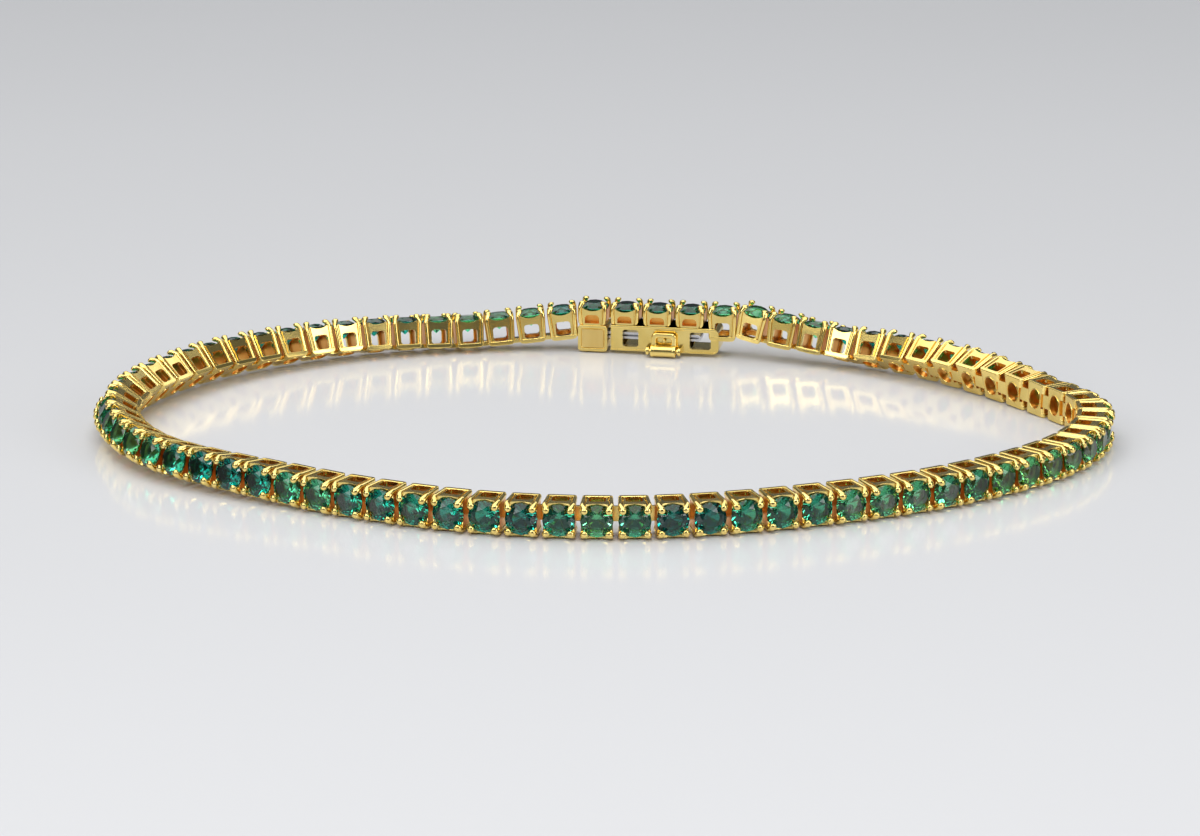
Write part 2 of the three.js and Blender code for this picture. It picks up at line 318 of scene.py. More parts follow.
def soften(piece: bpy.types.Object, width: float, segments: int = 2) -> bpy.types.Object:
    """Polishes a piece's sharp edges round and shades it smooth.

    Args:
        piece: The object to finish.
        width: How wide the rounded edges are.
        segments: How many faces each has across.

    Returns:
        The same object.
    """
    limit = math.radians(SHARP_TURN)
    apply_modifier(piece, "BEVEL", width=width, segments=segments, limit_method="ANGLE", angle_limit=limit)
    return smooth(drop_needles(piece))


def drop_needles(piece: bpy.types.Object) -> bpy.types.Object:
    """Merges away the faces and edges that a cut or a rounding left without size.

    Args:
        piece: The object to clean.

    Returns:
        The same object.
    """
    activate(piece)
    bpy.ops.object.mode_set(mode="EDIT")
    bpy.ops.mesh.select_all(action="SELECT")
    bpy.ops.mesh.dissolve_degenerate(threshold=NEEDLE)
    finish_edit()
    return piece


def smooth(piece: bpy.types.Object, angle: float = 40) -> bpy.types.Object:
    """Shades a piece smooth, apart from its sharp edges.

    Args:
        piece: The object to shade.
        angle: Edges sharper than this many degrees stay sharp.

    Returns:
        The same object.
    """
    activate(piece)
    bpy.ops.object.shade_smooth_by_angle(angle=math.radians(angle))
    return apply_modifier(piece, "WEIGHTED_NORMAL", keep_sharp=True)


def join(pieces: Iterable[bpy.types.Object], name: str) -> bpy.types.Object:
    """Joins pieces into one object.

    Args:
        pieces: The objects to join.
        name: The joined object's name.

    Returns:
        The joined object.
    """
    pieces = list(pieces)
    activate(pieces[0])
    for piece in pieces[1:]:
        piece.select_set(True)
    if len(pieces) > 1:
        bpy.ops.object.join()
    pieces[0].name = name
    pieces[0].data.name = name
    return pieces[0]


def copy_at(master: bpy.types.Object, place: Matrix) -> bpy.types.Object:
    """Copies a piece with its own mesh, moved to a place.

    Args:
        master: The object to copy.
        place: Where the copy goes, as a change to its mesh.

    Returns:
        The copy.
    """
    copy = bpy.data.objects.new(master.name, master.data.copy())
    copy.data.transform(place)
    bpy.context.scene.collection.objects.link(copy)
    return copy


def discard(*pieces: bpy.types.Object) -> None:
    """Removes masters and cutters that aren't needed any more."""
    for piece in pieces:
        bpy.data.objects.remove(piece)


def install(piece: bpy.types.Object, node: str, body: str = BRACELET_BODY) -> None:
    """Puts a finished piece on its body in place of a node of the frame, and reports it.

    Args:
        piece: The finished piece.
        node: The node that it stands for.
        body: The body that it rides on.
    """
    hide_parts(node)
    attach(piece, body)
    LOG.info("%s: %d faces", piece.name, len(piece.data.polygons))


@dataclass(frozen=True)
class Ring:
    """One cross-section of a swept bar: its middle and its half sizes."""

    middle: Point
    half_x: float
    half_y: float


def sweep(rings: Sequence[Ring], sides: int) -> bpy.types.Object:
    """Makes a bar by extruding a filled circle from ring to ring.

    Args:
        rings: The cross-sections, from the bar's foot to its tip.
        sides: How many faces run round the bar.

    Returns:
        The bar.
    """
    deselect_all()
    first = rings[0]
    bpy.ops.mesh.primitive_circle_add(vertices=sides, radius=1, fill_type="NGON", location=first.middle)
    bar = bpy.context.active_object
    bar.scale = (first.half_x, first.half_y, 1)
    bake_place()
    bpy.ops.object.mode_set(mode="EDIT")
    bpy.ops.mesh.select_all(action="SELECT")
    for before, ring in pairwise(rings):
        step = Vector(ring.middle) - Vector(before.middle)
        bpy.ops.mesh.extrude_region_move(TRANSFORM_OT_translate={"value": step})
        grow = (ring.half_x / before.half_x, ring.half_y / before.half_y, 1)
        bpy.ops.transform.resize(value=grow, center_override=ring.middle)
    bpy.ops.mesh.select_all(action="SELECT")
    bpy.ops.mesh.normals_make_consistent(inside=False)
    finish_edit()
    return smooth(bar, angle=60)


# Finishes


class NodeBench:
    """Adds and links the nodes of one material or node group."""

    def __init__(self, tree: bpy.types.NodeTree) -> None:
        """Starts with an empty tree.

        Args:
            tree: The tree to fill.
        """
        self.tree = tree
        tree.nodes.clear()

    def add(self, kind: str, inputs: dict[str, object] | None = None, **settings: object) -> bpy.types.Node:
        """Adds a node.

        Args:
            kind: Blender's name for the node type.
            inputs: Values for its input sockets, by name.
            settings: The node's own settings.

        Returns:
            The new node.
        """
        node = self.tree.nodes.new(kind)
        for name, value in settings.items():
            setattr(node, name, value)
        for name, value in (inputs or {}).items():
            node.inputs[name].default_value = value
        return node

    def link(self, output: bpy.types.NodeSocket, target: bpy.types.NodeSocket) -> None:
        """Links an output to an input."""
        self.tree.links.new(output, target)


def handling_wear() -> bpy.types.NodeTree:
    """The shared node group for fine handling marks: a soft mask, and scratches as a height.

    Returns:
        The node group, made on its first use.
    """
    name = "handling_wear"
    if name in bpy.data.node_groups:
        return bpy.data.node_groups[name]
    group = bpy.data.node_groups.new(name, "ShaderNodeTree")
    bench = NodeBench(group)
    group.interface.new_socket("Vector", in_out="INPUT", socket_type="NodeSocketVector")
    for name_in, value in (("Patch Scale", 400.0), ("Scratch Scale", 6000.0)):
        socket = group.interface.new_socket(name_in, in_out="INPUT", socket_type="NodeSocketFloat")
        socket.default_value = value
    for name_out in ("Mask", "Height"):
        group.interface.new_socket(name_out, in_out="OUTPUT", socket_type="NodeSocketFloat")
    entry = bench.add("NodeGroupInput")
    leave = bench.add("NodeGroupOutput")
    patches = bench.add("ShaderNodeTexNoise", {"Detail": 3.0, "Roughness": 0.6})
    bench.link(entry.outputs["Vector"], patches.inputs["Vector"])
    bench.link(entry.outputs["Patch Scale"], patches.inputs["Scale"])
    scratches = bench.add("ShaderNodeTexNoise", {"Detail": 2.0, "Roughness": 0.7, "Distortion": 1.5})
    bench.link(entry.outputs["Vector"], scratches.inputs["Vector"])
    bench.link(entry.outputs["Scratch Scale"], scratches.inputs["Scale"])
    spread = bench.add("ShaderNodeMapRange", {"From Min": 0.3, "From Max": 0.7})
    bench.link(patches.outputs["Fac"], spread.inputs["Value"])
    bench.link(spread.outputs["Result"], leave.inputs["Mask"])
    bench.link(scratches.outputs["Fac"], leave.inputs["Height"])
    return group


@dataclass(frozen=True)
class MetalFinish:
    """A polished or brushed metal, with handling marks."""

    name: str
    colour: Colour
    deep_colour: Colour
    roughness: tuple[float, float] = (0.1, 0.2)
    patch_scale: float = 500.0
    scratch_scale: float = 5000.0
    grain: tuple[float, float, float] = (1.0, 1.0, 1.0)
    bump: float = 0.08
    bump_distance: float = 0.00002

    def material(self) -> bpy.types.Material:
        """The finish's material, made on its first use.

        Returns:
            The material.
        """
        if self.name in bpy.data.materials:
            return bpy.data.materials[self.name]
        material = bpy.data.materials.new(self.name)
        material.use_nodes = True
        bench = NodeBench(material.node_tree)
        place = bench.add("ShaderNodeTexCoord")
        stretch = bench.add("ShaderNodeMapping", {"Scale": self.grain})
        bench.link(place.outputs["Object"], stretch.inputs["Vector"])
        wear = bench.add("ShaderNodeGroup", node_tree=handling_wear())
        wear.inputs["Patch Scale"].default_value = self.patch_scale
        wear.inputs["Scratch Scale"].default_value = self.scratch_scale
        bench.link(stretch.outputs["Vector"], wear.inputs["Vector"])
        tint = bench.add("ShaderNodeMix", data_type="RGBA")
        tint.inputs[MIX_FIRST].default_value = self.colour
        tint.inputs[MIX_SECOND].default_value = self.deep_colour
        bench.link(wear.outputs["Mask"], tint.inputs["Factor"])
        gloss = bench.add("ShaderNodeMapRange", {"To Min": self.roughness[0], "To Max": self.roughness[1]})
        bench.link(wear.outputs["Mask"], gloss.inputs["Value"])
        relief = bench.add("ShaderNodeBump", {"Strength": self.bump, "Distance": self.bump_distance})
        bench.link(wear.outputs["Height"], relief.inputs["Height"])
        shader = bench.add("ShaderNodeBsdfPrincipled", {"Metallic": 1.0})
        bench.link(tint.outputs[MIX_RESULT], shader.inputs["Base Color"])
        bench.link(gloss.outputs["Result"], shader.inputs["Roughness"])
        bench.link(relief.outputs["Normal"], shader.inputs["Normal"])
        output = bench.add("ShaderNodeOutputMaterial")
        bench.link(shader.outputs["BSDF"], output.inputs["Surface"])
        return material


@dataclass(frozen=True)
class StoneFinish:
    """A clear green stone whose tone varies from stone to stone, and grows paler towards +X."""

    name: str = "faceted_green"
    tones: tuple[tuple[float, Colour], ...] = (
        (0.35, (0.0, 0.12, 0.1, 1.0)),
        (0.5, (0.004, 0.27, 0.19, 1.0)),
        (0.8, (0.16, 0.62, 0.22, 1.0)),
    )
    tone_scale: float = 130.0
    paler_span: tuple[float, float] = (0.01, 0.036)
    paler_by: float = 0.24
    index: float = 1.58
    surface_shine: float = 0.3
    roughness: tuple[float, float] = (0.0, 0.03)

    def material(self) -> bpy.types.Material:
        """The finish's material, made on its first use.

        Returns:
            The material.
        """
        if self.name in bpy.data.materials:
            return bpy.data.materials[self.name]
        material = bpy.data.materials.new(self.name)
        material.use_nodes = True
        bench = NodeBench(material.node_tree)
        place = bench.add("ShaderNodeTexCoord")
        clouds = bench.add("ShaderNodeTexNoise", {"Scale": self.tone_scale, "Detail": 1.0})
        bench.link(place.outputs["Object"], clouds.inputs["Vector"])
        sides = bench.add("ShaderNodeSeparateXYZ")
        bench.link(place.outputs["Object"], sides.inputs["Vector"])
        low, high = self.paler_span
        paler = bench.add("ShaderNodeMapRange", {"From Min": low, "From Max": high, "To Max": self.paler_by})
        bench.link(sides.outputs["X"], paler.inputs["Value"])
        tone = bench.add("ShaderNodeMath", operation="ADD")
        bench.link(clouds.outputs["Fac"], tone.inputs[0])
        bench.link(paler.outputs["Result"], tone.inputs[1])
        tones = bench.add("ShaderNodeValToRGB")
        middle_position, _ = self.tones[1]
        tones.color_ramp.elements.new(middle_position)
        for element, (position, colour) in zip(tones.color_ramp.elements, self.tones):
            element.position = position
            element.color = colour
        bench.link(tone.outputs["Value"], tones.inputs["Fac"])
        shader = bench.add("ShaderNodeBsdfPrincipled", {"IOR": self.index, "Transmission Weight": 1.0})
        shader.inputs["Specular IOR Level"].default_value = self.surface_shine
        wear = bench.add("ShaderNodeGroup", node_tree=handling_wear())
        bench.link(place.outputs["Object"], wear.inputs["Vector"])
        gloss = bench.add("ShaderNodeMapRange", {"To Min": self.roughness[0], "To Max": self.roughness[1]})
        bench.link(wear.outputs["Mask"], gloss.inputs["Value"])
        bench.link(tones.outputs["Color"], shader.inputs["Base Color"])
        bench.link(gloss.outputs["Result"], shader.inputs["Roughness"])
        output = bench.add("ShaderNodeOutputMaterial")
        bench.link(shader.outputs["BSDF"], output.inputs["Surface"])
        return material


@dataclass(frozen=True)
class FloorFinish:
    """A pale, smooth floor with a faint gloss."""

    name: str = "pale_floor"
    colour: Colour = (0.74, 0.74, 0.75, 1.0)
    roughness: tuple[float, float] = (0.1, 0.14)
    patch_scale: float = 12.0

    def material(self) -> bpy.types.Material:
        """The floor's material.

        Returns:
            The material.
        """
        material = bpy.data.materials.new(self.name)
        material.use_nodes = True
        bench = NodeBench(material.node_tree)
        place = bench.add("ShaderNodeTexCoord")
        wear = bench.add("ShaderNodeGroup", node_tree=handling_wear())
        wear.inputs["Patch Scale"].default_value = self.patch_scale
        bench.link(place.outputs["Object"], wear.inputs["Vector"])
        gloss = bench.add("ShaderNodeMapRange", {"To Min": self.roughness[0], "To Max": self.roughness[1]})
        bench.link(wear.outputs["Mask"], gloss.inputs["Value"])
        shader = bench.add("ShaderNodeBsdfPrincipled", {"Base Color": self.colour})
        bench.link(gloss.outputs["Result"], shader.inputs["Roughness"])
        output = bench.add("ShaderNodeOutputMaterial")
        bench.link(shader.outputs["BSDF"], output.inputs["Surface"])
        return material


class Metal(Enum):
    """The metals of the bracelet."""

    POLISHED_GOLD = MetalFinish(
        "polished_gold",
        (0.95, 0.74, 0.26, 1.0),
        (0.86, 0.64, 0.19, 1.0),
        roughness=(0.14, 0.25),
    )
    SATIN_GOLD = MetalFinish(
        "satin_gold",
        (0.86, 0.64, 0.24, 1.0),
        (0.76, 0.54, 0.17, 1.0),
        roughness=(0.42, 0.52),
        grain=(1.0, 1.0, 0.08),
        scratch_scale=9000.0,
        bump=0.5,
    )
    # Painted shade: a darker, more orange gold painted into rooms, niches and hinge ends, standing in for the
    # dimming and orange tint of light bouncing inside gold recesses
    PAINTED_SHADE_GOLD = MetalFinish(
        "painted_shade_gold",
        (0.95, 0.5, 0.12, 1.0),
        (0.82, 0.38, 0.07, 1.0),
        roughness=(0.3, 0.42),
        scratch_scale=3000.0,
        bump=0.25,
    )
    WHITE_METAL = MetalFinish(
        "satin_white",
        (0.78, 0.78, 0.8, 1.0),
        (0.62, 0.62, 0.65, 1.0),
        roughness=(0.2, 0.32),
        grain=(0.1, 1.0, 1.0),
        bump=0.3,
    )


STONE_FINISH = StoneFinish()


def dress(piece: bpy.types.Object, *finishes: Metal | StoneFinish | FloorFinish) -> bpy.types.Object:
    """Gives a piece the materials of its finishes, in the order of its face slots.

    Args:
        piece: The object to dress.
        finishes: Its finishes.

    Returns:
        The same object.
    """
    piece.data.materials.clear()
    for finish in finishes:
        maker = finish.value if isinstance(finish, Metal) else finish
        piece.data.materials.append(maker.material())
    return piece


# The route that the row of settings follows


@dataclass(frozen=True)
class Slope:
    """How the row leaves the clasp on one side: lifted off the surface, and upright."""

    lift: float
    lift_run: float
    twist_start: float
    twist_run: float


@dataclass
class Route:
    """The closed loop that the settings' middles follow, from the tongue's end hinge round to the box's."""

    points: tuple[tuple[float, float], ...] = (
        (-1.6, 24.9),
        (-10.5, 24.3),
        (-20.5, 21.0),
        (-29.5, 13.3),
        (-33.9, 2.0),
        (-30.5, -9.0),
        (-20.5, -16.8),
        (-9.0, -22.6),
        (2.4, -24.1),
        (13.5, -21.5),
        (24.0, -16.3),
        (32.0, -8.5),
        (34.5, 0.5),
        (30.2, 8.7),
        (21.5, 17.4),
        (10.6, 22.7),
        (4.5, 23.8),
    )
    count: int = 71
    left_count: int = 37
    pitch: float = 2.4
    clasp_length: float = 12.34
    width: float = 2.4
    height: float = 2.6
    divisions: int = 4000
    tongue_side: Slope = Slope(lift=0.98, lift_run=8.6, twist_start=0.0, twist_run=71.0)
    box_side: Slope = Slope(lift=1.6, lift_run=10.0, twist_start=2.2, twist_run=25.6)
    lift_ease: float = 1.3
    look_share: float = 0.125
    shares: np.ndarray = field(init=False)
    lengths: np.ndarray = field(init=False)

    def __post_init__(self) -> None:
        """Measures the curve's length up to each of its divisions."""
        self.shares = np.linspace(0, 1, self.divisions + 1)
        places = np.array([self.on_curve(share) for share in self.shares])
        steps = np.linalg.norm(np.diff(places, axis=0), axis=1)
        self.lengths = np.concatenate([[0], np.cumsum(steps)])

    @property
    def chain_length(self) -> float:
        """The row's length without the clasp."""
        return self.count * self.pitch

    @property
    def loop_length(self) -> float:
        """The whole loop's length."""
        return self.chain_length + self.clasp_length

    def on_curve(self, share: float) -> tuple[float, float]:
        """A point of the smooth closed curve through the route's points.

        Args:
            share: The curve's parameter, from 0 to 1.

        Returns:
            The point's X and Y.
        """
        total = len(self.points)
        start = math.floor(share * total)
        t = share * total - start
        before, here, there, after = (self.points[(start + i) % total] for i in (-1, 0, 1, 2))
        place = []
        for a, b, c, d in zip(before, here, there, after):
            leave, arrive = (c - a) / 2, (d - b) / 2
            cubic = 2 * b - 2 * c + leave + arrive
            square = -3 * b + 3 * c - 2 * leave - arrive
            place.append(b + t * (leave + t * (square + t * cubic)))
        return place[0], place[1]

    def slope_at(self, s: float) -> tuple[Slope, float]:
        """The side of the loop at s, and how far s lies from that side's end of the clasp.

        Args:
            s: Distance along the loop from the tongue's end hinge.

        Returns:
            The slope and the distance.
        """
        if s < self.chain_length / 2:
            return self.tongue_side, s
        return self.box_side, self.chain_length - s

    def twist_at(self, s: float) -> float:
        """How far a setting at s has turned upright, in radians."""
        slope, run = self.slope_at(s)
        return math.pi / 2 * min(max(1 - (run - slope.twist_start) / slope.twist_run, 0), 1)

    def middle_at(self, s: float) -> Vector:
        """The middle of the row at s.

        Args:
            s: Distance along the loop from the tongue's end hinge.

        Returns:
            The middle's place.
        """
        share = (s / self.loop_length) % 1
        x, y = self.on_curve(float(np.interp(share * self.lengths[-1], self.lengths, self.shares)))
        scale = self.loop_length / self.lengths[-1]
        twist = self.twist_at(s)
        slope, run = self.slope_at(s)
        lift = slope.lift * min(max(1 - run / slope.lift_run, 0), 1) ** self.lift_ease
        rest = self.width / 2 * math.cos(twist) + self.height / 2 * math.sin(twist)
        return Vector((x * scale, y * scale, rest + lift))

    def place_at(self, s: float) -> Matrix:
        """The place of a setting whose middle is at s.

        Args:
            s: Distance along the loop from the tongue's end hinge.

        Returns:
            A place with X along the row, Z out through the stone, and its origin at the setting's base.
        """
        step = self.pitch * self.look_share
        along = (self.middle_at(s + step) - self.middle_at(s - step)).normalized()
        outward = Vector((along.y, -along.x, 0)).normalized()
        upward = outward.cross(along)
        twist = self.twist_at(s)
        axis = outward * math.cos(twist) + upward * math.sin(twist)
        across = axis.cross(along)
        base = self.middle_at(s) - axis * self.height / 2
        place = Matrix((along, across, axis)).transposed().to_4x4()
        place.translation = base
        return place

    def clasp_place(self) -> Matrix:
        """The place of the clasp: its middle, on the surface that the bracelet lies on.

        Returns:
            A place with X from the tongue to the box, and Z up.
        """
        tongue_end, box_end = self.middle_at(0), self.middle_at(self.chain_length)
        tongue_end.z = box_end.z = 0
        along = (box_end - tongue_end).normalized()
        up = Vector((0, 0, 1))
        place = Matrix((along, up.cross(along), up)).transposed().to_4x4()
        place.translation = (tongue_end + box_end) / 2
        return place


# Settings and stones


@dataclass
class Stone:
    """A round brilliant: a table, a crown, a girdle and a pavilion."""

    radius: float = 1.075
    girdle_height: float = 2.05
    girdle_band: float = 0.04
    crown: float = 0.33
    pavilion: float = 0.9
    table_share: float = 0.56
    star_share: float = 0.8
    lower_share: float = 0.26
    culet_radius: float = 0.02
    corners: int = 8
    flat_degrees: float = 1.0

    def build(self) -> bpy.types.Object:
        """Makes the stone from rings of corners and their hull.

        Returns:
            The stone, with its girdle at its height above the setting's base.
        """
        half_turn = math.pi / self.corners
        girdle_top = self.girdle_height + self.girdle_band / 2
        girdle_low = self.girdle_height - self.girdle_band / 2
        table_height = girdle_top + self.crown
        culet_height = girdle_low - self.pavilion
        crown_drop = self.crown / (self.radius * (1 - self.table_share))
        star_reach = self.radius * (self.star_share * math.cos(half_turn) - self.table_share)
        lower_reach = self.radius * self.lower_share * math.cos(half_turn)
        star_height = table_height - crown_drop * star_reach
        lower_height = culet_height + lower_reach * self.pavilion / self.radius
        rings = (
            (self.corners, self.radius * self.table_share, table_height, 0.0),
            (self.corners, self.radius * self.star_share, star_height, half_turn),
            (2 * self.corners, self.radius, girdle_top, 0.0),
            (2 * self.corners, self.radius, girdle_low, 0.0),
            (self.corners, self.radius * self.lower_share, lower_height, half_turn),
            (self.corners, self.culet_radius, culet_height, 0.0),
        )
        circles = []
        for corners, radius, height, turn in rings:
            deselect_all()
            bpy.ops.mesh.primitive_circle_add(
                vertices=corners, radius=radius, location=(0, 0, height), rotation=(0, 0, turn)
            )
            circles.append(bake_place())
        gem = join(circles, "stone_master")
        bpy.ops.object.mode_set(mode="EDIT")
        bpy.ops.mesh.select_all(action="SELECT")
        bpy.ops.mesh.convex_hull()
        bpy.ops.mesh.select_all(action="SELECT")
        bpy.ops.mesh.dissolve_limited(angle_limit=math.radians(self.flat_degrees))
        bpy.ops.mesh.select_all(action="SELECT")
        bpy.ops.mesh.normals_make_consistent(inside=False)
        finish_edit()
        return dress(gem, STONE_FINISH)


class LinkEnd(Enum):
    """What one end of a setting's base has."""

    NOTCH = "notch"
    TAB = "tab"
    PLAIN = "plain"


@dataclass(frozen=True)
class ClawStation:
    """One cross-section of a post: its height, its middle's distance from the outer faces, its half sizes."""

    height: float
    inset_x: float
    inset_y: float
    half_x: float
    half_y: float


@dataclass
class Setting:
    """A square four-claw setting: one frame cut to shape, with a round post at each corner.

    Lengths are half sizes where a name says half, and heights are above the setting's base.
    """

    # The frame between the posts, wider towards the stone, with a raised plate on each side
    half_base: float = 1.0
    half_top: float = 1.1
    half_width: float = 1.2
    height: float = 2.6
    splay_height: float = 1.82
    frame_top: float = 2.08
    post_inset: float = 0.07
    groove_depth: float = 0.16
    plate_proud: float = 0.1
    plate_base: float = 0.62
    plate_top: float = 0.7
    foot_radius: float = 0.24
    edge: float = 0.035
    skin: float = 0.06

    # The bars along the base
    rail: float = 0.34
    rail_rise: float = 0.02
    rail_inner: float = 0.85
    rail_end_gap: float = 0.02
    rail_side_gap: float = 0.01
    rail_edge: float = 0.05

    # The room under the stone, its windows, its base hole and the dips in its top edge
    window_half: float = 0.56
    window_top: float = 1.4
    window_corner: float = 0.22
    room_half: tuple[float, float] = (0.74, 0.86)
    room_corner: float = 0.2
    shelf: float = 1.6
    inner_half: float = 0.8
    hole_half: tuple[float, float] = (0.54, 0.7)
    hole_rim: float = 0.05
    hole_sides: int = 20
    scallop_depth: float = 0.18
    scallop_half: float = 0.7
    scallop_sides: int = 32

    # The stone's seat
    seat_radius: float = 1.1
    seat_drop: float = 0.95
    seat_height: float = 2.05
    seat_point: float = 0.05
    seat_sides: int = 24

    # The posts. A foot's heights are shares of its radius, and its other values of the post's half sizes
    post_half: float = 0.16
    post_depth: float = 0.18
    post_sides: int = 10
    foot: tuple[ClawStation, ...] = (
        ClawStation(0.15, 1.6, 1.2, 0.5, 0.6),
        ClawStation(0.45, 1.25, 1.0, 0.8, 0.9),
        ClawStation(1.0, 1.0, 1.0, 1.0, 1.0),
    )
    claw: tuple[ClawStation, ...] = (
        ClawStation(2.08, 0.16, 0.2, 0.16, 0.19),
        ClawStation(2.22, 0.21, 0.28, 0.2, 0.21),
        ClawStation(2.34, 0.26, 0.36, 0.24, 0.24),
        ClawStation(2.45, 0.3, 0.41, 0.25, 0.25),
        ClawStation(2.53, 0.32, 0.43, 0.21, 0.21),
        ClawStation(2.58, 0.33, 0.44, 0.13, 0.13),
        ClawStation(2.6, 0.33, 0.44, 0.05, 0.05),
    )

    # The hinge: a tab on one setting, in a notch of the next, on a pin
    tab_half: float = 0.5
    tab_rise: float = 0.02
    tab_height: float = 0.32
    tab_corner: float = 0.12
    tab_edge: float = 0.03
    tab_root: float = 0.25
    tab_reach: float = 0.75
    tab_bite: float = 0.15
    notch_clearance: float = 0.05
    notch_inner: float = 0.66
    pin_radius: float = 0.06
    pin_inset: float = 0.16
    pin_half: float = 0.7
    pin_sides: int = 8

    # A short setting's niches, with a core of darker, more orange gold standing behind them as painted shade
    niche_half: float = 0.54
    niche_rise: float = 0.2
    niche_corner: float = 0.3
    shade_core_half: tuple[float, float] = (0.9, 0.7)
    shade_core_rise: float = 0.05
    shade_core_top: float = 1.7

    def half_at(self, height: float) -> float:
        """Half the setting's length at a height, wider towards the stone."""
        share = min(height / self.splay_height, 1)
        return self.half_base + (self.half_top - self.half_base) * share

    @property
    def deep(self) -> float:
        """Half the frame's width between its raised plates."""
        return self.half_width - self.groove_depth

    def frame(self, base: float) -> bpy.types.Object:
        """The block between the posts, with a raised plate on each side.

        Args:
            base: The height that it starts at.

        Returns:
            The block, not yet cut.
        """
        low, high = (self.half_at(z) - self.post_inset for z in (base, self.frame_top))
        block = add_box((-low, -self.deep, base), (low, self.deep, self.frame_top))
        mark_faces(block, looks_along(2))
        bpy.ops.transform.resize(value=(high / low, 1, 1), center_override=(0, 0, self.frame_top))
        lean = (self.plate_top - self.plate_base) / self.splay_height
        for side in (-1, 1):
            bpy.ops.mesh.select_all(action="SELECT")
            bpy.ops.mesh.bisect(plane_co=(side * self.plate_base, 0, 0), plane_no=(side, 0, -lean))
        finish_edit()
        feet = runs_along(1, lambda end: end.z < base + NEAR and abs(end.x) > self.plate_top)
        round_edges(block, feet, self.foot_radius)
        for side in (-1, 1):
            mark_faces(block, looks_along(1, side, lambda middle: abs(middle.x) < self.plate_base))
            shift = (0, side * self.plate_proud, 0)
            bpy.ops.mesh.extrude_region_move(TRANSFORM_OT_translate={"value": shift})
            finish_edit()
        return block

    def rails(self) -> list[bpy.types.Object]:
        """The bars along the base's two sides, which join the posts' feet.

        Returns:
            The two bars.
        """
        half = self.half_base - self.rail_end_gap
        feet = runs_along(1, lambda end: end.z < self.rail_rise + NEAR)
        bars = []
        for side in (-1, 1):
            near, far = sorted((side * self.rail_inner, side * (self.half_width - self.rail_side_gap)))
            bar = add_box((-half, near, self.rail_rise), (half, far, self.rail))
            round_edges(bar, feet, self.foot_radius)
            bars.append(soften(bar, self.rail_edge, segments=3))
        return bars

    def seat(self) -> bpy.types.Object:
        """The cutter for the stone's seat.

        Returns:
            A cone with a short round top.
        """
        deselect_all()
        bpy.ops.mesh.primitive_cone_add(
            vertices=self.seat_sides,
            radius1=self.seat_point,
            radius2=self.seat_radius,
            depth=self.seat_drop,
            location=(0, 0, self.seat_height - self.seat_drop / 2),
        )
        cone = bake_place()
        mark_faces(cone, looks_along(2))
        bpy.ops.mesh.extrude_region_move(TRANSFORM_OT_translate={"value": (0, 0, OVERRUN)})
        finish_edit()
        return cone

    def scallops(self) -> list[bpy.types.Object]:
        """The cutters for the dips in the frame's top edge.

        Returns:
            A rod along X and a rod along Y.
        """
        radius = (self.scallop_half**2 + self.scallop_depth**2) / (2 * self.scallop_depth)
        height = self.frame_top - self.scallop_depth + radius
        along_x = add_rod((-THROUGH, 0, height), (THROUGH, 0, height), radius, self.scallop_sides)
        along_y = add_rod((0, -THROUGH, height), (0, THROUGH, height), radius, self.scallop_sides)
        return [along_x, along_y]

    def window(self) -> bpy.types.Object:
        """The cutter for the windows in the two sides."""
        low, high = (-self.window_half, -THROUGH, self.rail), (self.window_half, THROUGH, self.window_top)
        return round_edges(add_box(low, high), runs_along(1), self.window_corner)

    def room(self) -> bpy.types.Object:
        """The cutter for the room under the stone.

        Returns:
            A rounded box.
        """
        x, y = self.room_half
        room = add_box((-x, -y, self.rail), (x, y, self.shelf))
        return round_edges(room, runs_along(2), self.room_corner, segments=3)

    def base_hole(self) -> bpy.types.Object:
        """The cutter for the oval hole in the base.

        Returns:
            An oval rod along Z.
        """
        hole = add_rod((0, 0, -OVERRUN), (0, 0, self.rail + OVERRUN), 1, self.hole_sides)
        activate(hole)
        hole.scale = (*self.hole_half, 1)
        return bake_place()

    def base_rim(self) -> bpy.types.Object:
        """The raised rim round the base's hole.

        Returns:
            An oval ring.
        """
        deselect_all()
        bpy.ops.mesh.primitive_torus_add(
            major_segments=self.hole_sides, minor_segments=8, major_radius=1, minor_radius=self.hole_rim
        )
        rim = bpy.context.active_object
        x, y = self.hole_half
        rim.scale = (x + self.hole_rim, y + self.hole_rim, 1)
        return smooth(bake_place(), angle=80)

    def notch(self, side: int) -> bpy.types.Object:
        """The cutter for the notch that the next tab enters.

        Args:
            side: -1 for the end towards the tongue, or 1 for the other.

        Returns:
            A box.
        """
        half = self.tab_half + self.notch_clearance
        top = self.tab_rise + self.tab_height + self.notch_clearance
        low, high = sorted((side * self.notch_inner, side * THROUGH))
        return add_box((low, -half, -OVERRUN), (high, half, top))

    def pin(self, side: int) -> bpy.types.Object:
        """The hinge pin across a notch.

        Args:
            side: -1 for the end towards the tongue, or 1 for the other.

        Returns:
            The pin.
        """
        x = side * (self.half_base - self.pin_inset)
        z = self.tab_rise + self.tab_height / 2
        return smooth(add_rod((x, -self.pin_half, z), (x, self.pin_half, z), self.pin_radius, self.pin_sides))

    def tab(self, start: float, end: float) -> bpy.types.Object:
        """A hinge tab along X with rounded ends.

        Args:
            start: Where it starts.
            end: Where it ends.

        Returns:
            The tab.
        """
        low, high = self.tab_rise, self.tab_rise + self.tab_height
        tab = add_box((start, -self.tab_half, low), (end, self.tab_half, high))
        round_edges(tab, runs_along(1), self.tab_corner, segments=3)
        return soften(tab, self.tab_edge)

